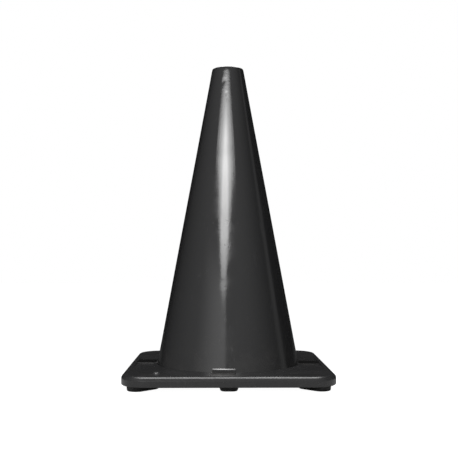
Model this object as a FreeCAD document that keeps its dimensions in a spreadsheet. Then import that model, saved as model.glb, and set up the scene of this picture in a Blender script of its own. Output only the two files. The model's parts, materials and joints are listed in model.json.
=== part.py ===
import FreeCAD, Part
import os
import re
from math import hypot, sqrt

import Sketcher

# Traffic cone: a hollow tapered shell standing through a square weighted base on rubber feet.
# Millimetres, +Z up, the origin on the floor at the middle of the base, the front towards -Y.

doc = FreeCAD.newDocument("TrafficCone")
sheet = doc.addObject("Spreadsheet::Sheet", "Sizes")

# name, value, meaning
DRIVING_SIZES = [
    ("base_width", 283, "side of the square base"),
    ("total_height", 450, "floor to rim"),
    ("base_thickness", 14, "slab without its feet"),
    ("corner_radius", 35, "corners of the base seen from above"),
    ("deck_rounding", 6, "edge between deck and skirt"),
    ("skirt_rounding", 1.5, "lower edge of the skirt"),
    ("deck_skin", 5, "deck over the hollows"),
    ("skirt_wall", 7, "wall round the hollows"),
    ("rib_width", 4, "ribs between ring and skirt"),
    ("ring_wall", 5, "material outside the flange groove"),
    ("deck_margin", 39.3, "side of the base to the shell, on the deck"),
    ("shell_wall", 2.6, "shell thickness, measured level"),
    ("rim_wall", 3.5, "shell thickness at the rim"),
    ("rim_hole_radius", 19.5, "round hole at the top"),
    ("rim_hole_length", 12, "straight stretch of that hole"),
    ("rim_taper_length", 9, "thick rim fading into the shell wall"),
    ("rim_rounding", 1, "edges of the rim"),
    ("flange_inset", 19.4, "side of the base to the flange under the deck"),
    ("flange_thickness", 3.5, "flange under the deck"),
    ("mouth_rounding", 0.9, "deck edge round the shell and the lugs"),
    ("ledge_gap", 0.5, "shell's foot to the ledge under the flange, measured level"),
    ("lug_width", 31, "locking lug across"),
    ("lug_inset", 9, "side of the base to the outer end of a lug"),
    ("lug_proud", 0.8, "lug above the deck"),
    ("lug_root_fillet", 5, "lug top to shell"),
    ("lug_edge_rounding", 0.6, "top edges of a lug"),
    ("lug_turn", -3.6, "degrees that the shell is turned in the base"),
    ("fit_gap", 0.3, "clearance between shell and base"),
    ("scoop_length", 132, "shallow scoop in a side margin, front to back"),
    ("scoop_inset", 9.5, "side of the base to the scoop"),
    ("scoop_gap", 3.8, "shell to the scoop"),
    ("scoop_depth", 1.2, "scoop at its middle"),
    ("nub_radius", 4.6, "moulding nub on the deck"),
    ("nub_height", 1.8, "moulding nub on the deck"),
    ("nub_side_inset", 46.5, "nub in from the left side of the base"),
    ("nub_front_inset", 29.5, "nub in from the front of the base"),
    ("foot_height", 6.5, "floor to the underside of the slab"),
    ("foot_inset", 8.5, "feet in from the side of the base"),
    ("foot_rounding", 1.5, "lower edge of a foot"),
    ("corner_foot_width", 26, "oblong corner foot across"),
    ("corner_foot_length", 48, "oblong corner foot along the diagonal"),
    ("side_foot_width", 20, "oblong side foot, front to back"),
    ("side_foot_length", 27, "oblong side foot, along the side"),
    ("corner_foot_draft", 6, "degrees that a corner foot narrows downwards"),
    ("side_foot_draft", 22, "degrees that a side foot narrows downwards"),
    ("plug_shoulder", 5, "foot edge to its plug"),
    ("socket_roof", 1.8, "base material between a socket and the flange"),
    ("plug_gap", 0.2, "clearance round a plug and over it"),
    ("boss_wall", 4, "base material round a plug"),
]

# name, formula over other sizes, meaning
WORKED_OUT_SIZES = [
    ("half_base", "base_width / 2", "axis to the side of the base"),
    ("deck_level", "foot_height + base_thickness", "floor to deck"),
    ("flange_top", "deck_level - deck_skin", "floor to the top of the flange"),
    ("flange_bottom", "flange_top - flange_thickness", "floor to the flange"),
    ("hollow_depth", "base_thickness - deck_skin", "underside of the slab to the deck skin"),
    ("cone_foot_radius", "half_base - deck_margin", "outside of the shell where it meets the deck"),
    ("cone_rim_radius", "rim_hole_radius + rim_wall", "outside of the shell at the rim"),
    ("taper", "(cone_foot_radius - cone_rim_radius) / (total_height - deck_level)", "radius lost per rise"),
    ("shell_under_deck", "cone_foot_radius + taper * deck_skin", "outside of the shell at the flange's top"),
    ("shell_foot", "shell_under_deck + taper * flange_thickness", "outside of the shell at its foot"),
    ("flange_radius", "half_base - flange_inset", "outside of the flange"),
    ("ledge_radius", "shell_foot + ledge_gap", "opening in the ledge that carries the flange"),
    ("ring_radius", "flange_radius + fit_gap + ring_wall", "outside of the ring round the flange"),
    ("lug_reach", "half_base - lug_inset", "axis to the outer end of a lug"),
    ("rim_hole_bottom", "total_height - rim_hole_length", "floor to the straight hole"),
    ("rim_taper_bottom", "rim_hole_bottom - rim_taper_length", "floor to the thick rim's end"),
    ("shell_under_rim", "cone_rim_radius + taper * (total_height - rim_taper_bottom)", "outside there"),
    ("corner_reach", "(half_base - corner_radius) * sqrt(2) + corner_radius", "axis to a corner"),
    ("corner_boss_reach", "corner_reach - skirt_wall * 0.8", "axis to a corner boss's end in the skirt"),
    ("side_boss_reach", "half_base - skirt_wall / 2", "axis to a side boss's end in the skirt"),
    ("corner_foot_outer", "(half_base - foot_inset - corner_foot_width / 2) * sqrt(2)", "outer arc's centre"),
    ("corner_foot_middle", "corner_foot_outer - (corner_foot_length - corner_foot_width) / 2", "from the axis"),
    ("side_foot_middle", "half_base - foot_inset - side_foot_width / 2", "from the axis"),
    ("plug_height", "flange_bottom - foot_height - plug_gap - socket_roof", "plug above the slab's underside"),
    ("plug_margin", "plug_gap + boss_wall - plug_shoulder", "boss edge beyond the foot edge"),
    ("scoop_width", "half_base - scoop_inset - cone_foot_radius - scoop_gap", "scoop across the margin"),
    ("nub_rounding", "nub_height * 0.8", "top edge of the nub"),
    ("scoop_arc", "(scoop_length ^ 2 / 4 + scoop_depth ^ 2) / (2 * scoop_depth)", "radius of the scoop's floor"),
]

SIZE_NAMES = [row[0] for row in DRIVING_SIZES + WORKED_OUT_SIZES]
SIDES = ["front", "right", "back", "left"]
CORNERS = ["back_right", "back_left", "front_left", "front_right"]
CORNER_FOOT = {
    "place": ("corner_foot_middle / sqrt(2)", "corner_foot_middle / sqrt(2)"),
    "turn": "45",
    "length": "corner_foot_length",
    "width": "corner_foot_width",
    "draft": "corner_foot_draft",
}
SIDE_FOOT = {
    "place": ("0", "-side_foot_middle"),
    "turn": "0",
    "length": "side_foot_length",
    "width": "side_foot_width",
    "draft": "side_foot_draft",
}
RIB_COUNT = 8
QUARTER_TURN = 90
OVERRUN = 1  # a cut runs this far past the face that it opens


def bound(formula):
    """The formula with every size name pointing at its cell."""
    return re.sub(r"\b(" + "|".join(SIZE_NAMES) + r")\b", r"Sizes.\1", str(formula))


def fill_sheet():
    rows = DRIVING_SIZES + [(name, "=" + formula, meaning) for name, formula, meaning in WORKED_OUT_SIZES]
    for number, (name, value, meaning) in enumerate(rows, start=1):
        sheet.set("A%d" % number, name)
        sheet.set("B%d" % number, str(value))
        sheet.set("C%d" % number, meaning)
        sheet.setAlias("B%d" % number, name)
    doc.recompute()


def value_of(formula):
    return float(sheet.evalExpression(bound(formula)))


def origin_part(body, role):
    return [part for part in body.Origin.OriginFeatures if part.Role == role][0]


def move_to(thing, property_name, place, turn):
    """Binds a placement: where it is, and its turn about Z in degrees."""
    spin = FreeCAD.Rotation(FreeCAD.Vector(0, 0, 1), value_of(turn))
    setattr(thing, property_name, FreeCAD.Placement(FreeCAD.Vector(*map(value_of, place)), spin))
    for direction, formula in zip("xyz", place):
        thing.setExpression("%s.Base.%s" % (property_name, direction), bound(formula))
    thing.setExpression(property_name + ".Rotation.Angle", bound(turn))


def new_body(label):
    body = doc.addObject("PartDesign::Body", label)
    body.Label = label
    return body


def new_sketch(body, name, plane="XY_Plane", place=("0", "0", "0"), turn="0"):
    """A sketch on one of the body's own origin planes, moved to place and turned in its plane."""
    sketch = body.newObject("Sketcher::SketchObject", name)
    sketch.AttachmentSupport = [(origin_part(body, plane), "")]
    sketch.MapMode = "FlatFace"
    move_to(sketch, "AttachmentOffset", place, turn)
    return sketch


def pin_point(sketch, line, end, point):
    """Binds one end of a line or arc to two formulas measured from the sketch's origin."""
    for direction, formula in zip(("DistanceX", "DistanceY"), point):
        rule = Sketcher.Constraint(direction, -1, 1, line, end, value_of(formula))
        number = sketch.addConstraint(rule)
        sketch.setExpression("Constraints[%d]" % number, bound(formula))


def draw_outline(sketch, points):
    """A closed outline of straight lines through points given as pairs of formulas."""
    corners = [FreeCAD.Vector(value_of(across), value_of(up), 0) for across, up in points]
    following = corners[1:] + corners[:1]
    for start, end in zip(corners, following):
        sketch.addGeometry(Part.LineSegment(start, end), False)
    for line in range(len(points)):
        sketch.addConstraint(Sketcher.Constraint("Coincident", line, 2, (line + 1) % len(points), 1))
        pin_point(sketch, line, 1, points[line])


def draw_box(sketch, left, right, low, high):
    draw_outline(sketch, [(left, low), (right, low), (right, high), (left, high)])


def fix_radius(sketch, arc, radius):
    rule = sketch.addConstraint(Sketcher.Constraint("Radius", arc, value_of(radius)))
    sketch.setExpression("Constraints[%d]" % rule, bound(radius))


def draw_rounded_square(sketch, half_width, radius):
    """A square round the sketch's origin with quarter circles for corners."""
    middle = value_of("(%s) - (%s)" % (half_width, radius))
    arcs = []
    for quarter in range(4):
        spin = FreeCAD.Rotation(FreeCAD.Vector(0, 0, 1), quarter * QUARTER_TURN)
        centre = spin.multVec(FreeCAD.Vector(middle, middle, 0))
        corner = [centre + spin.multVec(FreeCAD.Vector(value_of(radius) * reach, value_of(radius) * rise, 0))
                  for reach, rise in ((1, 0), (sqrt(0.5), sqrt(0.5)), (0, 1))]
        arcs.append(sketch.addGeometry(Part.Arc(*corner), False))
    for arc, following in zip(arcs, arcs[1:] + arcs[:1]):
        straight = Part.LineSegment(sketch.getPoint(arc, 2), sketch.getPoint(following, 1))
        side = sketch.addGeometry(straight, False)
        sketch.addConstraint(Sketcher.Constraint("Tangent", arc, 2, side, 1))
        sketch.addConstraint(Sketcher.Constraint("Tangent", side, 2, following, 1))
    inset = "((%s) - (%s))" % (half_width, radius)
    for arc, signs in zip(arcs, (("", ""), ("-", ""), ("-", "-"), ("", "-"))):
        pin_point(sketch, arc, 3, [sign + inset for sign in signs])
        fix_radius(sketch, arc, radius)


def draw_oblong(sketch, length, width):
    """A slot shape round the sketch's origin, along its X axis: two straight sides, two half circles."""
    radius = "(%s) / 2" % width
    reach = "((%s) - (%s)) / 2" % (length, width)
    tip = FreeCAD.Vector(value_of(radius), 0, 0)
    side = FreeCAD.Vector(0, value_of(radius), 0)
    centre = FreeCAD.Vector(value_of(reach), 0, 0)
    right = sketch.addGeometry(Part.Arc(centre - side, centre + tip, centre + side), False)
    back = sketch.addGeometry(Part.LineSegment(centre + side, side - centre), False)
    left = sketch.addGeometry(Part.Arc(side - centre, -centre - tip, -centre - side), False)
    front = sketch.addGeometry(Part.LineSegment(-centre - side, centre - side), False)
    for line, following in ((right, back), (back, left), (left, front), (front, right)):
        sketch.addConstraint(Sketcher.Constraint("Tangent", line, 2, following, 1))
    pin_point(sketch, right, 3, (reach, "0"))
    pin_point(sketch, left, 3, ("-(%s)" % reach, "0"))
    fix_radius(sketch, right, radius)


def add_feature(body, kind, name, profile):
    feature = body.newObject("PartDesign::" + kind, name)
    feature.Profile = profile
    profile.Visibility = False
    return feature


def pad(body, name, profile, height, draft="0", downwards=False):
    feature = add_feature(body, "Pad", name, profile)
    feature.setExpression("Length", bound(height))
    feature.setExpression("TaperAngle", bound(draft))
    feature.Reversed = downwards
    doc.recompute()
    return feature


def removed(body, feature):
    """Stops the build when a cut has taken nothing away."""
    doc.recompute()
    before = feature.BaseFeature.Shape.Volume
    if not feature.Shape.Volume < before - OVERRUN:
        raise ValueError("%s of %s cuts nothing" % (feature.Name, body.Label))
    return feature


def pocket(body, name, profile, depth, upwards=False):
    feature = add_feature(body, "Pocket", name, profile)
    feature.setExpression("Length", bound(depth))
    feature.Reversed = upwards
    return removed(body, feature)


def turn_profile(body, kind, name, points):
    """Revolution or Groove of an outline in the XZ plane about Z."""
    sketch = new_sketch(body, name + "_profile", "XZ_Plane")
    draw_outline(sketch, points)
    feature = add_feature(body, kind, name, sketch)
    feature.ReferenceAxis = (origin_part(body, "Z_Axis"), [""])
    feature.Angle = 360
    doc.recompute()
    return feature


def repeat_round(body, feature, count):
    pattern = body.newObject("PartDesign::PolarPattern", feature.Name + "_all")
    pattern.Originals = [feature]
    pattern.Axis = (origin_part(body, "Z_Axis"), [""])
    pattern.Angle = 360
    pattern.Occurrences = count
    body.Tip = pattern
    doc.recompute()
    return pattern


def round_edges(body, name, radius, wanted):
    """Fillets the edges of the body's last feature for which wanted(edge) holds."""
    base = body.Tip
    edges = ["Edge%d" % number for number, edge in enumerate(base.Shape.Edges, start=1) if wanted(edge)]
    if not edges:
        raise ValueError("%s of %s finds no edge" % (name, body.Label))
    feature = body.newObject("PartDesign::Fillet", name)
    feature.Base = (base, edges)
    feature.setExpression("Radius", bound(radius))
    doc.recompute()
    return feature


def level_at(edge, formula, tolerance=0.01):
    box = edge.BoundBox
    level = value_of(formula)
    return abs(box.ZMin - level) < tolerance and abs(box.ZMax - level) < tolerance


def farthest_out(edge):
    return max(hypot(*vertex.Point[:2]) for vertex in edge.Vertexes)


def make_slab(body):
    sketch = new_sketch(body, "slab_outline", place=("0", "0", "foot_height"))
    draw_rounded_square(sketch, "half_base", "corner_radius")
    pad(body, "slab", sketch, "base_thickness")
    round_edges(body, "deck_edge", "deck_rounding", lambda edge: level_at(edge, "deck_level"))
    round_edges(body, "skirt_edge", "skirt_rounding", lambda edge: level_at(edge, "foot_height"))


def make_hollow(body):
    sketch = new_sketch(body, "hollow_outline", place=("0", "0", "foot_height"))
    draw_rounded_square(sketch, "half_base - skirt_wall", "corner_radius - skirt_wall")
    pocket(body, "hollow", sketch, "hollow_depth", upwards=True)


def make_ring_and_bosses(body):
    """Solid places in the hollow: the ring round the shell, a boss over each foot, and ribs."""
    turn_profile(body, "Revolution", "ring", [
        ("ledge_radius - ring_wall", "foot_height"),
        ("ring_radius", "foot_height"),
        ("ring_radius", "flange_top"),
        ("ledge_radius - ring_wall", "flange_top"),
    ])
    half_corner_boss = "(corner_foot_width / 2 + plug_margin)"
    half_side_boss = "(side_foot_length / 2 + plug_margin)"
    blocks = [
        ("corner_boss", CORNER_FOOT["turn"], "corner_boss_reach", half_corner_boss, len(CORNERS)),
        ("side_boss", SIDE_FOOT["turn"], "side_boss_reach", half_side_boss, len(SIDES)),
        ("lug_boss", "lug_turn", "side_boss_reach", "(lug_width / 2 + boss_wall)", len(SIDES)),
        ("rib", "360 / %d / 2" % RIB_COUNT, "half_base", "rib_width / 2", RIB_COUNT),
    ]
    for name, turn, outer_end, half_width, count in blocks:
        sketch = new_sketch(body, name + "_outline", place=("0", "0", "foot_height"), turn=turn)
        draw_box(sketch, "ring_radius - ring_wall / 2", outer_end, "-" + half_width, half_width)
        repeat_round(body, pad(body, name, sketch, "hollow_depth"), count)


def cut_opening(body):
    """The opening that the shell stands in, with the groove that holds its flange."""
    groove = turn_profile(body, "Groove", "opening", [
        ("0", "foot_height - %s" % OVERRUN),
        ("ledge_radius", "foot_height - %s" % OVERRUN),
        ("ledge_radius", "flange_bottom"),
        ("flange_radius + fit_gap", "flange_bottom"),
        ("flange_radius + fit_gap", "flange_top"),
        ("shell_under_deck + fit_gap", "flange_top"),
        ("cone_foot_radius + fit_gap - taper * %s" % OVERRUN, "deck_level + %s" % OVERRUN),
        ("0", "deck_level + %s" % OVERRUN),
    ])
    removed(body, groove)


def cut_lug_windows(body):
    sketch = new_sketch(body, "window_outline", place=("0", "0", "deck_level"), turn="lug_turn")
    half_width = "(lug_width / 2 + fit_gap)"
    draw_box(sketch, "-" + half_width, half_width, "-(lug_reach + fit_gap)", "-(cone_foot_radius - shell_wall)")
    repeat_round(body, pocket(body, "window", sketch, "deck_skin"), len(SIDES))


def round_mouth(body):
    """Softens the deck edge that the shell and the lugs come up through."""
    turned_back = FreeCAD.Rotation(FreeCAD.Vector(0, 0, 1), -value_of("lug_turn"))
    mouth_radius = value_of("cone_foot_radius + fit_gap")
    half_window = value_of("lug_width / 2 + fit_gap")
    lowest = value_of("deck_level - scoop_depth")
    tolerance = 0.02

    def on_the_mouth(vertex):
        point = turned_back.multVec(vertex.Point)
        on_circle = abs(hypot(point.x, point.y) - mouth_radius) < tolerance
        on_window = abs(min(abs(point.x), abs(point.y)) - half_window) < tolerance
        return point.z > lowest - tolerance and (on_circle or on_window)

    round_edges(body, "mouth_edge", "mouth_rounding",
                lambda edge: all(on_the_mouth(vertex) for vertex in edge.Vertexes))


def cut_foot_sockets(body):
    sockets = [("corner_socket", CORNER_FOOT, len(CORNERS)), ("side_socket", SIDE_FOOT, len(SIDES))]
    for name, foot, count in sockets:
        place = foot["place"] + ("foot_height",)
        sketch = new_sketch(body, name + "_outline", place=place, turn=foot["turn"])
        margin = "2 * (plug_shoulder - plug_gap)"
        draw_oblong(sketch, "%s - %s" % (foot["length"], margin), "%s - %s" % (foot["width"], margin))
        repeat_round(body, pocket(body, name, sketch, "plug_height + plug_gap", upwards=True), count)


def cut_scoops(body):
    """Shallow scoops in the left and right margins, with a round floor from front to back."""
    sketch = new_sketch(body, "scoop_outline", "YZ_Plane", place=("0", "0", "half_base - scoop_inset"))
    half_length = value_of("scoop_length / 2")
    deck = value_of("deck_level")
    front = FreeCAD.Vector(-half_length, deck, 0)
    back = FreeCAD.Vector(half_length, deck, 0)
    lowest = FreeCAD.Vector(0, deck - value_of("scoop_depth"), 0)
    floor = sketch.addGeometry(Part.Arc(front, lowest, back), False)
    lid = sketch.addGeometry(Part.LineSegment(back, front), False)
    sketch.addConstraint(Sketcher.Constraint("Coincident", floor, 2, lid, 1))
    sketch.addConstraint(Sketcher.Constraint("Coincident", floor, 1, lid, 2))
    sketch.addConstraint(Sketcher.Constraint("Horizontal", lid))
    pin_point(sketch, floor, 3, ("0", "deck_level - scoop_depth + scoop_arc"))
    pin_point(sketch, floor, 1, ("-scoop_length / 2", "deck_level"))
    repeat_round(body, pocket(body, "scoop", sketch, "scoop_width"), len(("right", "left")))


def add_nub(body):
    place = ("-(half_base - nub_side_inset)", "-(half_base - nub_front_inset)", "deck_level")
    sketch = new_sketch(body, "nub_outline", place=place)
    sketch.addGeometry(Part.Circle(FreeCAD.Vector(0, 0, 0), FreeCAD.Vector(0, 0, 1), value_of("nub_radius")))
    sketch.addConstraint(Sketcher.Constraint("Coincident", 0, 3, -1, 1))
    fix_radius(sketch, 0, "nub_radius")
    pad(body, "nub", sketch, "nub_height")
    round_edges(body, "nub_top", "nub_rounding", lambda edge: level_at(edge, "deck_level + nub_height"))


def make_base():
    body = new_body("base")
    make_slab(body)
    make_hollow(body)
    make_ring_and_bosses(body)
    cut_opening(body)
    cut_foot_sockets(body)
    cut_scoops(body)
    cut_lug_windows(body)
    round_mouth(body)
    add_nub(body)
    return body


def add_lugs(body):
    """Four tongues on the flange that fill the windows of the deck."""
    sketch = new_sketch(body, "lug_outline", place=("0", "0", "flange_top"), turn="lug_turn")
    draw_box(sketch, "-lug_width / 2", "lug_width / 2", "-lug_reach", "-(cone_foot_radius - 2 * shell_wall)")
    repeat_round(body, pad(body, "lug", sketch, "deck_skin + lug_proud"), len(SIDES))
    top = "deck_level + lug_proud"
    shell = value_of("cone_foot_radius")
    round_edges(body, "lug_root", "lug_root_fillet",
                lambda edge: level_at(edge, top) and farthest_out(edge) < shell)
    round_edges(body, "lug_edges", "lug_edge_rounding",
                lambda edge: level_at(edge, top) and farthest_out(edge) > shell + value_of("lug_root_fillet"))


def make_cone_body():
    body = new_body("cone_body")
    turn_profile(body, "Revolution", "outside", [
        ("0", "flange_bottom"),
        ("flange_radius", "flange_bottom"),
        ("flange_radius", "flange_top"),
        ("shell_under_deck", "flange_top"),
        ("cone_rim_radius", "total_height"),
        ("0", "total_height"),
    ])
    add_lugs(body)
    inside = turn_profile(body, "Groove", "inside", [
        ("0", "flange_bottom - %s" % OVERRUN),
        ("shell_foot - shell_wall + taper * %s" % OVERRUN, "flange_bottom - %s" % OVERRUN),
        ("shell_under_rim - shell_wall", "rim_taper_bottom"),
        ("rim_hole_radius", "rim_hole_bottom"),
        ("rim_hole_radius", "total_height + %s" % OVERRUN),
        ("0", "total_height + %s" % OVERRUN),
    ])
    removed(body, inside)
    round_edges(body, "rim", "rim_rounding", lambda edge: level_at(edge, "total_height"))
    return body


def make_foot(label, foot, quarter):
    """A pad from the floor up to the slab, and its plug. It is moved round by quarter turns."""
    body = new_body(label)
    tread = new_sketch(body, "tread_outline", place=("0", "0", "foot_height"))
    draw_oblong(tread, foot["length"], foot["width"])
    pad(body, "tread", tread, "foot_height", "-" + foot["draft"], downwards=True)
    plug = new_sketch(body, "plug_outline", place=("0", "0", "foot_height"))
    draw_oblong(plug, foot["length"] + " - 2 * plug_shoulder", foot["width"] + " - 2 * plug_shoulder")
    pad(body, "plug", plug, "plug_height")
    round_edges(body, "tread_edge", "foot_rounding", lambda edge: level_at(edge, "0"))
    across, along = foot["place"]
    for _ in range(quarter):
        across, along = "-(%s)" % along, across
    move_to(body, "Placement", (across, along, "0"), "%s + %d" % (foot["turn"], quarter * QUARTER_TURN))
    return body


def check_document(sub_parts):
    for thing in doc.Objects:
        if "Invalid" in thing.State or "Error" in thing.State:
            raise ValueError("%s did not compute: %s" % (thing.Label, thing.State))
    for body in sub_parts:
        if body.Shape.isNull() or not body.Shape.isValid() or len(body.Shape.Solids) != 1:
            raise ValueError(body.Label + " is not one valid solid")


fill_sheet()
sub_parts = [make_cone_body(), make_base()]
sub_parts += [make_foot("side_foot_" + side, SIDE_FOOT, quarter) for quarter, side in enumerate(SIDES)]
sub_parts += [
    make_foot("corner_foot_" + corner, CORNER_FOOT, quarter)
    for quarter, corner in enumerate(CORNERS)
]
doc.recompute()
check_document(sub_parts)

os.makedirs("parts", exist_ok=True)
for body in sub_parts:
    body.Shape.exportStep(os.path.join("parts", body.Label + ".step"))
    print("%-26s %9.1f mm3" % (body.Label, body.Shape.Volume))
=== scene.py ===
import json
import math

import bpy
from mathutils import Matrix, Vector, noise


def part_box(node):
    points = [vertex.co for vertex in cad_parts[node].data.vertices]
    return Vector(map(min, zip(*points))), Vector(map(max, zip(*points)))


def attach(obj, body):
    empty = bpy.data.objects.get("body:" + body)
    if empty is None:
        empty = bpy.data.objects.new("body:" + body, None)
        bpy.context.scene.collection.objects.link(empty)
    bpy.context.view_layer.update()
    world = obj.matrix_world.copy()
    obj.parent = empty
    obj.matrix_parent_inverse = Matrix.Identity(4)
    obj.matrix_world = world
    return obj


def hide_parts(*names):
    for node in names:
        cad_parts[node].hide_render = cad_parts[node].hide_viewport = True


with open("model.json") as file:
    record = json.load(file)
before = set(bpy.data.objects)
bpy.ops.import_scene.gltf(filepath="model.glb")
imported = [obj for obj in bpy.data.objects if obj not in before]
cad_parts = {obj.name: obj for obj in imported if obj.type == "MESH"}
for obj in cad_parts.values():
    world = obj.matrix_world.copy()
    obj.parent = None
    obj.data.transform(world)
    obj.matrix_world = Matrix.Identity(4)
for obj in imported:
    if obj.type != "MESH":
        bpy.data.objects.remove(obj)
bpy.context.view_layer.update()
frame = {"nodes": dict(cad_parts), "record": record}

# Black traffic cone: a thin PVC shell, locked with four lugs into a heavy base on rubber feet.
# Metres, +Z up, origin on the floor at the middle of the base, front towards -Y.

scene = bpy.context.scene
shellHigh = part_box("cone_body")[1]
baseLow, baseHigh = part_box("base")
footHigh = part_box("side_foot_front")[1]


viewPoint = {
    "eye": (-0.01415, -1.1090, 0.1719),
    "turnDegrees": 0.731,
    "tiltDegrees": 2.194,
    "lens": 59.381,
    "shiftX": 0.00264,
}


def makeCamera():
    camera = bpy.data.cameras.new("camera")
    camera.lens = viewPoint["lens"]
    camera.shift_x = viewPoint["shiftX"]
    holder = bpy.data.objects.new("camera", camera)
    scene.collection.objects.link(holder)
    turn = math.radians(viewPoint["turnDegrees"])
    tilt = math.radians(viewPoint["tiltDegrees"])
    aim = Vector((math.sin(turn) * math.cos(tilt), math.cos(turn) * math.cos(tilt), math.sin(tilt)))
    holder.location = viewPoint["eye"]
    holder.rotation_euler = aim.to_track_quat("-Z", "Y").to_euler()
    scene.camera = holder


def arcAround(centre, radius, startDegrees, endDegrees, steps):
    # points on an arc in the (out, up) plane, both ends included
    points = []
    for step in range(steps + 1):
        angle = math.radians(startDegrees + (endDegrees - startDegrees) * step / steps)
        points.append((centre[0] + radius * math.cos(angle), centre[1] + radius * math.sin(angle)))
    return points


def alongLine(start, end, steps):
    # points on a straight run, its last point left for the next run
    return [(start[0] + (end[0] - start[0]) * step / steps, start[1] + (end[1] - start[1]) * step / steps)
            for step in range(steps)]


def addPiece(name, points, faces, material, replaced=None):
    mesh = bpy.data.meshes.new(name)
    mesh.from_pydata(points, [], faces)
    mesh.validate()
    mesh.materials.append(material)
    mesh.shade_smooth()
    mesh.set_sharp_from_angle(angle=math.radians(40))
    piece = bpy.data.objects.new(name, mesh)
    scene.collection.objects.link(piece)
    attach(piece, "root")
    if replaced:
        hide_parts(replaced)
    return piece


def addNode(tree, kind, inputs=None, **settings):
    # inputs: socket name or number -> a value, or another node's output to link
    node = tree.nodes.new(kind)
    for setting, value in settings.items():
        setattr(node, setting, value)
    for socket, value in (inputs or {}).items():
        if isinstance(value, bpy.types.NodeSocket):
            tree.links.new(value, node.inputs[socket])
        else:
            node.inputs[socket].default_value = value
    return node


def calculate(tree, operation, first, second=0.0):
    return addNode(tree, "ShaderNodeMath", {0: first, 1: second}, operation=operation).outputs[0]


def fade(tree, value, start, end, low=0.0, high=1.0):
    # low at start, high at end, smooth between
    inputs = {"Value": value, "From Min": start, "From Max": end, "To Min": low, "To Max": high}
    return addNode(tree, "ShaderNodeMapRange", inputs, interpolation_type="SMOOTHSTEP").outputs["Result"]


def stretched(tree, place, factors):
    return addNode(tree, "ShaderNodeMapping", {"Vector": place, "Scale": factors}).outputs[0]


def grain(tree, place, perMetre, detail=2.0, roughness=0.5):
    inputs = {"Vector": place, "Scale": perMetre, "Detail": detail, "Roughness": roughness}
    return addNode(tree, "ShaderNodeTexNoise", inputs).outputs["Fac"]


def patches(tree, place, pattern, low=0.0, high=1.0):
    # pattern: grains to the metre, detail, roughness, and where a patch starts and is full
    perMetre, detail, roughness, start, full = pattern
    return fade(tree, grain(tree, place, perMetre, detail, roughness), start, full, low, high)


def blend(tree, factor, first, second):
    node = addNode(tree, "ShaderNodeMix", data_type="RGBA")
    for socket, value in ((0, factor), (6, first), (7, second)):
        if isinstance(value, bpy.types.NodeSocket):
            tree.links.new(value, node.inputs[socket])
        else:
            node.inputs[socket].default_value = value
    return node.outputs[2]


def bump(tree, height, depth, under=None):
    inputs = {"Height": height, "Distance": depth, "Strength": 1.0}
    if under is not None:
        inputs["Normal"] = under
    return addNode(tree, "ShaderNodeBump", inputs).outputs["Normal"]


def startMaterial(name):
    material = bpy.data.materials.new(name)
    material.use_nodes = True
    tree = material.node_tree
    place = addNode(tree, "ShaderNodeTexCoord").outputs["Object"]
    parts = addNode(tree, "ShaderNodeSeparateXYZ", {0: place}).outputs
    return material, tree, tree.nodes["Principled BSDF"], place, parts


shellFinish = {
    "black": (0.0122, 0.0122, 0.0126, 1),
    "scuffed": (0.026, 0.026, 0.027, 1),
    "dusty": (0.045, 0.043, 0.040, 1),
    # lighter grey of the lugs' outer tops: partly wear from feet, partly a painted highlight
    "troddenSheen": (0.052, 0.051, 0.050, 1),
    "gloss": (0.09, 0.15),      # roughness where polished, where handled
    "scuffRoughness": 0.30,
    "dustRoughness": 0.25,      # added to the polish under it
    "troddenRoughness": 0.35,
    "handling": (24, 3, 0.5, 0.40, 0.66),
    "scuffs": (95, 6, 0.65, 0.60, 0.74),
    "scuffStretch": (1, 1, 0.45),
    "scuffShare": 0.5,
    "drags": (900, 2, 0.5, 0.68, 0.78),
    "dragStretch": (1, 1, 0.05),
    "dragPlaces": (9, 2, 0.5, 0.42, 0.62),
    "treadSheenPatches": (240, 5, 0.7, 0.25, 0.6),
    "treadSheenStart": 0.001,        # out from the shell's foot
    "treadSheenFull": 0.006,
    "dust": (55, 3, 0.55, 0.35, 0.75),
    "dustShare": 0.16,
    "dustTop": 0.070,           # dust fades out this high
    "peelSize": 380,            # orange peel grains to the metre
    "peelDepth": 0.00003,
    "nickDepth": 0.00004,
    "ior": 1.5,
}


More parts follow.
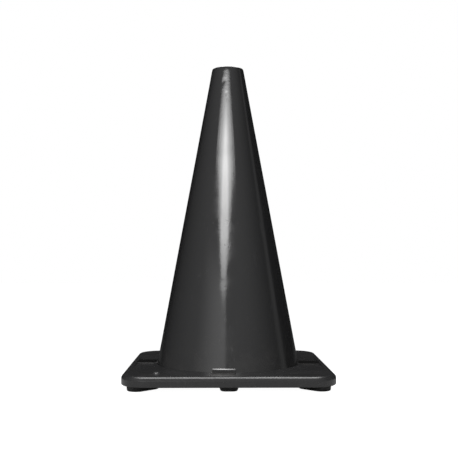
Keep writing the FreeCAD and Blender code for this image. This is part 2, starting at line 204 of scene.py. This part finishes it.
def shellPvc(name, sheenAndTreading):
    # treading: 0 for a clean face, 1 for one whose outer top is greyed all the way, partly as wear from feet
    # and partly as a painted highlight
    finish = shellFinish
    material, tree, shader, place, (across, along, up) = startMaterial(name)
    handled = patches(tree, place, finish["handling"])
    scuffs = patches(tree, stretched(tree, place, finish["scuffStretch"]), finish["scuffs"])
    drags = patches(tree, stretched(tree, place, finish["dragStretch"]), finish["drags"])
    worn = calculate(tree, "MULTIPLY", patches(tree, place, finish["dragPlaces"]), drags)
    marks = calculate(tree, "MAXIMUM", calculate(tree, "MULTIPLY", scuffs, finish["scuffShare"]), worn)
    # the outer part of a lug's top is painted a lighter grey, partly wear from feet and partly a painted
    # highlight; its root is left alone
    away = addNode(tree, "ShaderNodeVectorMath", {0: stretched(tree, place, (1, 1, 0))}, operation="LENGTH")
    outer = fade(tree, away.outputs["Value"], footRadius + finish["treadSheenStart"],
                 footRadius + finish["treadSheenFull"], 0.0, sheenAndTreading)
    outer = calculate(tree, "MULTIPLY", outer, patches(tree, place, finish["treadSheenPatches"], 0.5, 1.0))
    low = fade(tree, up, finish["dustTop"], baseHigh.z, 0.0, finish["dustShare"])
    dust = calculate(tree, "MULTIPLY", low, patches(tree, place, finish["dust"]))
    color = blend(tree, marks, finish["black"], finish["scuffed"])
    color = blend(tree, dust, color, finish["dusty"])
    color = blend(tree, outer, color, finish["troddenSheen"])
    tree.links.new(color, shader.inputs["Base Color"])
    polished, dulled = finish["gloss"]
    rough = fade(tree, handled, 0, 1, polished, dulled)
    for cover, more in ((marks, finish["scuffRoughness"] - polished),
                        (dust, finish["dustRoughness"]),
                        (outer, finish["troddenRoughness"])):
        rough = calculate(tree, "ADD", rough, calculate(tree, "MULTIPLY", cover, more))
    tree.links.new(rough, shader.inputs["Roughness"])
    peel = bump(tree, grain(tree, place, finish["peelSize"], 1), finish["peelDepth"])
    nicks = bump(tree, calculate(tree, "MULTIPLY", marks, -1.0), finish["nickDepth"], peel)
    tree.links.new(nicks, shader.inputs["Normal"])
    shader.inputs["IOR"].default_value = finish["ior"]
    return material


baseFinish = {
    "black": (0.0180, 0.0180, 0.0186, 1),
    "chalky": (0.042, 0.041, 0.040, 1),
    "dirt": (0.070, 0.064, 0.056, 1),
    "gloss": (0.24, 0.32),
    "markRoughness": 0.2,       # added to the polish under it
    "clouds": (30, 4, 0.6, 0.38, 0.68),
    "chalk": (130, 6, 0.7, 0.57, 0.74),
    "chalkInside": 0.25,        # share of chalk away from the trodden edges
    "edgeStart": 0.86,          # share of the half width
    "scratches": (800, 2, 0.5, 0.68, 0.80),
    "scratchStretch": (0.06, 1, 1),
    "scratchPlaces": (14, 2, 0.5, 0.45, 0.6),
    "grime": (120, 6, 0.7, 0.5, 0.8),
    "grimeShare": 0.14,
    "grainSize": 700,
    "grainDepth": 0.000012,
    "sagSize": 18,              # slow waves of the moulding to the metre
    "sagDepth": 0.0004,
    "ior": 1.5,
}


def basePvc():
    finish = baseFinish
    material, tree, shader, place, (across, along, up) = startMaterial("basePvc")
    cloudy = patches(tree, place, finish["clouds"])
    chalk = patches(tree, place, finish["chalk"])
    # trodden outer edges and corners are greyer than the middle
    sideways = calculate(tree, "ABSOLUTE", across)
    reach = calculate(tree, "MAXIMUM", sideways, calculate(tree, "ABSOLUTE", along))
    edges = fade(tree, reach, baseHigh.x * finish["edgeStart"], baseHigh.x, finish["chalkInside"], 1.0)
    chalk = calculate(tree, "MULTIPLY", chalk, edges)
    scratches = patches(tree, stretched(tree, place, finish["scratchStretch"]), finish["scratches"])
    scratches = calculate(tree, "MULTIPLY", scratches, patches(tree, place, finish["scratchPlaces"]))
    marks = calculate(tree, "MAXIMUM", chalk, scratches)
    grime = patches(tree, place, finish["grime"], 0.0, finish["grimeShare"])
    color = blend(tree, marks, finish["black"], finish["chalky"])
    color = blend(tree, grime, color, finish["dirt"])
    tree.links.new(color, shader.inputs["Base Color"])
    polished, dulled = finish["gloss"]
    rough = fade(tree, cloudy, 0, 1, polished, dulled)
    rough = calculate(tree, "ADD", rough, calculate(tree, "MULTIPLY", marks, finish["markRoughness"]))
    tree.links.new(rough, shader.inputs["Roughness"])
    sag = bump(tree, grain(tree, place, finish["sagSize"], 1), finish["sagDepth"])
    fine = bump(tree, grain(tree, place, finish["grainSize"], 2), finish["grainDepth"], sag)
    tree.links.new(fine, shader.inputs["Normal"])
    shader.inputs["IOR"].default_value = finish["ior"]
    return material


rubberFinish = {
    "black": (0.006, 0.006, 0.006, 1),
    "ground": (0.028, 0.026, 0.024, 1),     # where it rubs on the floor
    "rubbing": (160, 5, 0.6, 0.35, 0.65),
    "rubbedHeight": 0.25,       # share of a foot's height
    "rubbedShare": 0.8,
    "bloom": (220, 3, 0.5, 0.3, 0.7),
    "roughness": (0.62, 0.85),
    "grainSize": 1500,
    "grainDepth": 0.00008,
}


def footRubber():
    finish = rubberFinish
    material, tree, shader, place, (across, along, up) = startMaterial("footRubber")
    rubbed = fade(tree, up, footHigh.z * finish["rubbedHeight"], 0.0, 0.0, finish["rubbedShare"])
    rubbed = calculate(tree, "MULTIPLY", rubbed, patches(tree, place, finish["rubbing"]))
    color = blend(tree, rubbed, finish["black"], finish["ground"])
    tree.links.new(color, shader.inputs["Base Color"])
    rough = patches(tree, place, finish["bloom"], *finish["roughness"])
    tree.links.new(rough, shader.inputs["Roughness"])
    pores = bump(tree, grain(tree, place, finish["grainSize"], 3), finish["grainDepth"])
    tree.links.new(pores, shader.inputs["Normal"])
    return material


shellSizes = {
    "wall": 0.0026,
    "rimWall": 0.0035,
    "rimHole": 0.0195,          # radius
    "rimHoleLength": 0.012,
    "rimTaper": 0.009,
    "rimRounding": 0.001,
    "footInset": 0.0393,        # side of the base to the shell, on the deck
    "flangeInset": 0.0194,
    "flange": 0.0035,
    "deckSkin": 0.005,
    "columns": 224,
    "outsideRows": 150,
    "insideRows": 60,
    "waviness": 0.00022,        # how far the soft wall wanders inwards
    "waveLength": 0.075,
    "heldHeight": 0.03,         # the wall runs true this near the rim and the deck
    "rimSteps": 5,
}

deckLevel = next(mount["pos_m"][2] for mount in frame["record"]["mounts"] if mount["name"] == "stack_deck")
topLevel = shellHigh.z
footRadius = baseHigh.x - shellSizes["footInset"]
rimRadius = shellSizes["rimHole"] + shellSizes["rimWall"]
taper = (footRadius - rimRadius) / (topLevel - deckLevel)


def wallRadius(level):
    return rimRadius + taper * (topLevel - level)


# shallow dents: turn from the front in degrees (+ to the right), height, half width, half height, depth
shellDents = [
    (-11, 0.4285, 0.0034, 0.0028, 0.00018),
    (-16, 0.4240, 0.0024, 0.0032, 0.00012),
    (-5, 0.4090, 0.0013, 0.0012, 0.00025),
    (-3, 0.4020, 0.0014, 0.0020, 0.00012),
    (-6, 0.1400, 0.0042, 0.0011, 0.00009),
    (-5, 0.1345, 0.0038, 0.0010, 0.00008),
    (3, 0.1300, 0.0010, 0.0090, 0.00008),
    (118, 0.2600, 0.0050, 0.0015, 0.00020),
    (205, 0.3300, 0.0016, 0.0100, 0.00016),
    (251, 0.1100, 0.0060, 0.0040, 0.00025),
]


def dentDepth(turn, level):
    depth = 0.0
    for dentTurn, dentLevel, halfWidth, halfHeight, deepest in shellDents:
        offTurn = (math.degrees(turn) - dentTurn + 180) % 360 - 180
        sideways = math.radians(offTurn) * wallRadius(level) / halfWidth
        upwards = (level - dentLevel) / halfHeight
        depth += deepest * math.exp(-sideways ** 2 - upwards ** 2)
    return depth


def wallWander(turn, level):
    # always inwards, none at the rim and under the deck, where the shell is held
    size = shellSizes["waveLength"]
    radius = wallRadius(level)
    spot = Vector((radius * math.sin(turn), -radius * math.cos(turn), level * 0.6)) / size
    wave = 0.5 + 0.5 * noise.noise(spot) + 0.15 * noise.noise(spot * 2.7)
    stiff = shellSizes["heldHeight"]
    held = min(1.0, (topLevel - level) / stiff, max(0.0, (level - deckLevel) / stiff))
    return shellSizes["waviness"] * max(0.0, wave) * held


def shellProfile():
    # round the wall's section: outside up, over the rim, down the hole and the inside, out over the flange
    sizes = shellSizes
    flangeTop = deckLevel - sizes["deckSkin"]
    flangeLow = flangeTop - sizes["flange"]
    flangeReach = baseHigh.x - sizes["flangeInset"]
    rounding = sizes["rimRounding"]
    holeLow = topLevel - sizes["rimHoleLength"]
    taperLow = holeLow - sizes["rimTaper"]
    roundingStart = topLevel - rounding
    outside = alongLine((wallRadius(flangeTop), flangeTop), (wallRadius(roundingStart), roundingStart),
                        sizes["outsideRows"])
    tilt = math.degrees(math.atan(taper))
    steps = sizes["rimSteps"]
    outerArc = arcAround((rimRadius - rounding, topLevel - rounding), rounding, tilt, 90, steps)
    innerArc = arcAround((sizes["rimHole"] + rounding, topLevel - rounding), rounding, 90, 180, steps)
    inside = alongLine((sizes["rimHole"], topLevel - 2 * rounding), (sizes["rimHole"], holeLow), 6)
    inside += alongLine((sizes["rimHole"], holeLow), (wallRadius(taperLow) - sizes["wall"], taperLow), 5)
    inside += alongLine((wallRadius(taperLow) - sizes["wall"], taperLow),
                        (wallRadius(flangeLow) - sizes["wall"], flangeLow), sizes["insideRows"])
    under = alongLine((wallRadius(flangeLow) - sizes["wall"], flangeLow), (flangeReach, flangeLow), 6)
    end = alongLine((flangeReach, flangeLow), (flangeReach, flangeTop), 3)
    over = alongLine((flangeReach, flangeTop), (wallRadius(flangeTop), flangeTop), 5)
    return outside + outerArc + innerArc + inside + under + end + over, len(outside)


def makeShell(material):
    profile, outsideCount = shellProfile()
    columns = shellSizes["columns"]
    points = []
    for column in range(columns):
        turn = 2 * math.pi * column / columns
        for number, (radius, level) in enumerate(profile):
            if number < outsideCount:
                radius -= wallWander(turn, level) + dentDepth(turn, level)
            points.append((radius * math.sin(turn), -radius * math.cos(turn), level))
    rows = len(profile)
    faces = []
    for column in range(columns):
        here = column * rows
        beside = (column + 1) % columns * rows
        for row in range(rows):
            following = (row + 1) % rows
            faces.append((here + row, beside + row, beside + following, here + following))
    return addPiece("coneShell", points, faces, material, "cone_body")


lugSizes = {
    "width": 0.031,
    "inset": 0.009,             # side of the base to the lug's outer end
    "proud": 0.0004,
    "rootFillet": 0.005,
    "edgeRounding": 0.0003,
    "turnDegrees": -3.6,
    "columns": 20,
    "rows": 9,
    "filletSteps": 10,
    "edgeSteps": 4,
    "overlap": 0.001,           # how far the root goes into the shell
    "sagDepth": 0.00015,        # the top sinks a little in the middle, as moulded tongues do
    # share of the lighter grey on each lug's outer top, wear and painted highlight together; most on the
    # front lug
    "sheenAndTreading": {"Front": 1.0, "Right": 0.2, "Back": 0.7, "Left": 0.2},
}


def lugColumn(across, drop):
    # section of a lug at one place across its width: from inside the wall over its top and back beneath
    sizes = lugSizes
    top = deckLevel + sizes["proud"] - drop
    low = deckLevel - shellSizes["deckSkin"]
    fillet = sizes["rootFillet"]
    rounding = sizes["edgeRounding"]
    overlap = sizes["overlap"]
    rows = sizes["rows"]
    reach = baseHigh.x - sizes["inset"]

    def wallAt(level, inwards=0.0):
        return math.sqrt((wallRadius(level) - inwards) ** 2 - across ** 2)

    tilt = math.degrees(math.atan(taper))
    centreOut = wallAt(top + fillet) + fillet / math.cos(math.atan(taper))
    section = [(wallAt(top + fillet, overlap), top + fillet + overlap)]
    section += arcAround((centreOut, top + fillet), fillet, 180 + tilt, 270, sizes["filletSteps"])
    sunk = sizes["sagDepth"] * (1 - (2 * across / sizes["width"]) ** 2)
    flat = alongLine((centreOut, top), (reach - rounding, top), rows)[1:]
    section += [(out, up - sunk * math.sin(math.pi * (number + 1) / rows))
                for number, (out, up) in enumerate(flat)]
    section += arcAround((reach - rounding, top - rounding), rounding, 90, 0, sizes["edgeSteps"])
    section += [(reach, low), (wallAt(low, overlap), low)]
    return section


def makeLug(name, quarterTurns, sheenAndTreading):
    sizes = lugSizes
    half = sizes["width"] / 2
    rounding = sizes["edgeRounding"]
    inner = half - rounding
    edge = [(inner + rounding * math.sin(angle), rounding * (1 - math.cos(angle)))
            for angle in (math.radians(90 * step / sizes["edgeSteps"])
                          for step in range(1, sizes["edgeSteps"] + 1))]
    middle = [(-inner + 2 * inner * step / sizes["columns"], 0.0) for step in range(sizes["columns"] + 1)]
    stations = [(-across, drop) for across, drop in reversed(edge)] + middle + edge
    spin = Matrix.Rotation(math.radians(sizes["turnDegrees"]) + quarterTurns * math.pi / 2, 3, "Z")
    points = []
    for across, drop in stations:
        section = lugColumn(across, drop)
        points += [spin @ Vector((across, -out, up)) for out, up in section]
    rows = len(points) // len(stations)
    faces = []
    for station in range(len(stations) - 1):
        here = station * rows
        beside = here + rows
        for row in range(rows):
            following = (row + 1) % rows
            faces.append((here + row, here + following, beside + following, beside + row))
    faces.append(tuple(reversed(range(rows))))
    last = (len(stations) - 1) * rows
    faces.append(tuple(range(last, last + rows)))
    return addPiece(name, points, faces, shellPvc(name + "Pvc", sheenAndTreading), "cone_body")


nubSizes = {
    "radius": 0.0052,
    "height": 0.0026,
    "fromLeft": 0.0465,         # in from the sides of the base
    "fromFront": 0.0295,
    "columns": 40,
    "rows": 10,
}


def makeNub(material):
    # a low dome over the stub that the mould leaves on the deck
    sizes = nubSizes
    middle = Vector((baseLow.x + sizes["fromLeft"], baseLow.y + sizes["fromFront"], deckLevel))
    points = [middle + Vector((0, 0, sizes["height"]))]
    for row in range(1, sizes["rows"] + 1):
        angle = math.pi / 2 * row / sizes["rows"]
        out = sizes["radius"] * math.sin(angle)
        up = sizes["height"] * math.cos(angle)
        for column in range(sizes["columns"]):
            turn = 2 * math.pi * column / sizes["columns"]
            points.append(middle + Vector((out * math.cos(turn), out * math.sin(turn), up)))
    faces = [(0, 1 + column, 1 + (column + 1) % sizes["columns"]) for column in range(sizes["columns"])]
    for row in range(sizes["rows"] - 1):
        for column in range(sizes["columns"]):
            here = 1 + row * sizes["columns"]
            beside = (column + 1) % sizes["columns"]
            below = here + sizes["columns"]
            faces.append((here + column, below + column, below + beside, here + beside))
    edge = 1 + (sizes["rows"] - 1) * sizes["columns"]
    faces.append(tuple(reversed(range(edge, edge + sizes["columns"]))))
    return addPiece("deckNub", points, faces, material)


studio = {
    "floorSize": 8,
    "floorShade": (0.48, 0.03), # light given back in front of the cone, and behind it
    "floorGlow": (0.97, 1.0),   # keeps it pale, near the cone and far off, for the camera only
    "glowReach": (0.2, 0.7),    # metres from the middle, near and far off
    "cloudSize": 6,
    "hiddenPatch": 0.9,
    "patchEdge": 0.75,          # share of the base's half width
    "ceiling": 0.5,
    "ceilingLevels": (38, 70),  # degrees up, where it starts and is full
    "front": 0.64,
    "back": 0.012,
    "leftFade": (-150, -38),    # degrees round from the front, + to the right
    "rightFade": (118, 18),
}

# dim panels in the studio: degrees round and up, how soft each edge is, and how bright
panels = [
    {"sides": (-12, -6), "sideSoft": (50, 3), "levels": (2, 18), "levelSoft": (6, 4), "glow": 1.0},
    {"sides": (99, 103), "sideSoft": (9, 7), "levels": (-4, 30), "levelSoft": (6, 10), "glow": 0.22},
]


def panelGlow(tree, azimuth, elevation, panel):
    left, right = panel["sides"]
    low, high = panel["levels"]
    glow = fade(tree, azimuth, left - panel["sideSoft"][0], left)
    glow = calculate(tree, "MULTIPLY", glow, fade(tree, azimuth, right + panel["sideSoft"][1], right))
    glow = calculate(tree, "MULTIPLY", glow, fade(tree, elevation, low - panel["levelSoft"][0], low))
    glow = calculate(tree, "MULTIPLY", glow, fade(tree, elevation, high + panel["levelSoft"][1], high))
    return calculate(tree, "MULTIPLY", glow, panel["glow"])


def makeRoom():
    world = bpy.data.worlds.new("studio")
    scene.world = world
    world.use_nodes = True
    tree = world.node_tree
    direction = addNode(tree, "ShaderNodeTexCoord").outputs["Generated"]
    right, back, up = addNode(tree, "ShaderNodeSeparateXYZ", {0: direction}).outputs
    front = calculate(tree, "MULTIPLY", back, -1.0)
    azimuth = calculate(tree, "DEGREES", calculate(tree, "ARCTAN2", right, front))
    elevation = calculate(tree, "DEGREES", calculate(tree, "ARCSINE", up))
    leftSide = fade(tree, azimuth, *studio["leftFade"], studio["back"], studio["front"])
    rightSide = fade(tree, azimuth, *studio["rightFade"], studio["back"], studio["front"])
    room = calculate(tree, "MINIMUM", leftSide, rightSide)
    overhead = fade(tree, elevation, *studio["ceilingLevels"], 0.0, studio["ceiling"])
    room = calculate(tree, "MAXIMUM", room, overhead)
    for panel in panels:
        room = calculate(tree, "ADD", room, panelGlow(tree, azimuth, elevation, panel))
    seen = addNode(tree, "ShaderNodeLightPath").outputs["Is Camera Ray"]
    strength = addNode(tree, "ShaderNodeMix", {0: seen, 2: room, 3: 1.0}, data_type="FLOAT").outputs[0]
    background = tree.nodes["Background"]
    background.inputs["Color"].default_value = (1, 1, 1, 1)
    tree.links.new(strength, background.inputs["Strength"])


def hangLamp(name, place, aim, width, height, radiance, shape):
    lamp = bpy.data.lights.new(name, "AREA")
    lamp.shape = shape
    lamp.size = width
    lamp.size_y = height
    area = width * height * (math.pi / 4 if shape == "ELLIPSE" else 1)
    lamp.energy = radiance * math.pi * area
    holder = bpy.data.objects.new(name, lamp)
    holder.location = place
    holder.rotation_euler = (aim - place).to_track_quat("-Z", "Y").to_euler()
    holder.visible_camera = False
    scene.collection.objects.link(holder)
    return holder


def gather(name, pieces):
    group = bpy.data.collections.new(name)
    for piece in pieces:
        group.objects.link(piece)
    return group


keyLight = {
    "turnDegrees": -9.4,        # round from the front, + to the right
    "riseDegrees": 27.3,
    "distance": 2.9,
    # soft layers over each other, widest at the top
    # half width, lower and upper end, in degrees from the middle
    "layers": ((8.5, -13, 3.5), (11.5, -10.5, 5), (17, -8.5, 6.5), (23, -4, 9), (30, -1, 11)),
    "layerGap": 0.01,           # each hangs this share further off than the one before
    "radiance": 19.5,
}


def makeKeyLight(lit):
    # a wide soft oval in front and above; the base is kept out of it, so its skirt stays even
    turn = math.radians(keyLight["turnDegrees"])
    aim = Vector((0, 0, shellHigh.z * 2 / 3))
    radiance = keyLight["radiance"] / len(keyLight["layers"])
    onlyThese = gather("litByKey", lit)
    for number, (halfWidth, low, high) in enumerate(keyLight["layers"]):
        rise = math.radians(keyLight["riseDegrees"] + (low + high) / 2)
        level = math.cos(rise)
        towards = Vector((math.sin(turn) * level, -math.cos(turn) * level, math.sin(rise)))
        reach = keyLight["distance"] * (1 + keyLight["layerGap"] * number)
        width = 2 * reach * math.tan(math.radians(halfWidth))
        height = 2 * reach * math.tan(math.radians((high - low) / 2))
        lamp = hangLamp("keyLight%d" % number, aim + towards * reach, aim,
                        width, height, radiance, "ELLIPSE")
        lamp.light_linking.receiver_collection = onlyThese


ceilingLight = {"place": (0, -0.12, 2.0), "aim": (0, -0.12, 0), "width": 2.0, "height": 1.1, "radiance": 7.0}
backLight = {"place": (0.3, 1.3, 2.4), "aim": (0, 0, 0.25), "width": 2.2, "height": 1.6, "radiance": 14.0}


def makeHighLight(name, light, shape, lit):
    lamp = hangLamp(name, Vector(light["place"]), Vector(light["aim"]),
                    light["width"], light["height"], light["radiance"], shape)
    lamp.light_linking.receiver_collection = gather(name + "Lights", lit)


def makeFloor():
    half = studio["floorSize"] / 2
    mesh = bpy.data.meshes.new("floor")
    corners = [(-half, -half, 0), (half, -half, 0), (half, half, 0), (-half, half, 0)]
    mesh.from_pydata(corners, [], [(0, 1, 2, 3)])
    material, tree, shader, place, parts = startMaterial("paleFloor")
    inFront, behind = [(shade, shade, shade, 1) for shade in studio["floorShade"]]
    cloud = fade(tree, grain(tree, place, studio["cloudSize"], 2), 0.3, 0.7, 0.0, 0.05)
    shade = calculate(tree, "ADD", fade(tree, parts[1], baseLow.y, baseHigh.y, 0.0, 0.95), cloud)
    tree.links.new(blend(tree, shade, inFront, behind), shader.inputs["Base Color"])
    shader.inputs["Roughness"].default_value = 0.9
    shader.inputs["Specular IOR Level"].default_value = 0.1
    shader.inputs["Emission Color"].default_value = (1, 1, 1, 1)
    seen = addNode(tree, "ShaderNodeLightPath").outputs["Is Camera Ray"]
    away = addNode(tree, "ShaderNodeVectorMath", {0: place}, operation="LENGTH").outputs["Value"]
    glow = fade(tree, away, *studio["glowReach"], *studio["floorGlow"])
    # a patch hidden under the base lights its hollows, for a look from below
    patchFull = baseHigh.x * studio["patchEdge"]
    patch = fade(tree, away, baseHigh.x, patchFull, 0.0, studio["hiddenPatch"])
    strength = addNode(tree, "ShaderNodeMix", {0: seen, 2: patch, 3: glow}, data_type="FLOAT").outputs[0]
    tree.links.new(strength, shader.inputs["Emission Strength"])
    # clear from below, so that the underside can be looked at
    below = addNode(tree, "ShaderNodeNewGeometry").outputs["Backfacing"]
    clear = addNode(tree, "ShaderNodeBsdfTransparent").outputs[0]
    mixed = addNode(tree, "ShaderNodeMixShader", {0: below, 1: shader.outputs[0], 2: clear}).outputs[0]
    tree.links.new(mixed, tree.nodes["Material Output"].inputs["Surface"])
    mesh.materials.append(material)
    floor = bpy.data.objects.new("floor", mesh)
    scene.collection.objects.link(floor)
    return floor


scene.view_settings.view_transform = "Standard"
makeCamera()
print("camera placed")

shellMaterial = shellPvc("shellPvc", 0.0)
baseMaterial = basePvc()
footMaterial = footRubber()
print("finishes mixed")

shell = makeShell(shellMaterial)
lugs = {side: makeLug("lug" + side, quarterTurns, sheenAndTreading)
        for quarterTurns, (side, sheenAndTreading) in enumerate(lugSizes["sheenAndTreading"].items())}
nub = makeNub(baseMaterial)
print("shell, lugs and nub made")

for nodeName, node in frame["nodes"].items():
    if nodeName != "cone_body":
        node.data.materials.clear()
        node.data.materials.append(baseMaterial if nodeName == "base" else footMaterial)
print("base and feet finished")

floor = makeFloor()
makeRoom()
makeKeyLight([shell, lugs["Front"], nub])
# from high behind, so that the far side of the shell isn't lost in the dark
makeHighLight("backLight", backLight, "ELLIPSE", [shell])
nodesKept = [node for nodeName, node in frame["nodes"].items() if nodeName != "cone_body"]
makeHighLight("ceilingLight", ceilingLight, "RECTANGLE", [floor, nub, lugs["Back"]] + nodesKept)
print("studio lit")
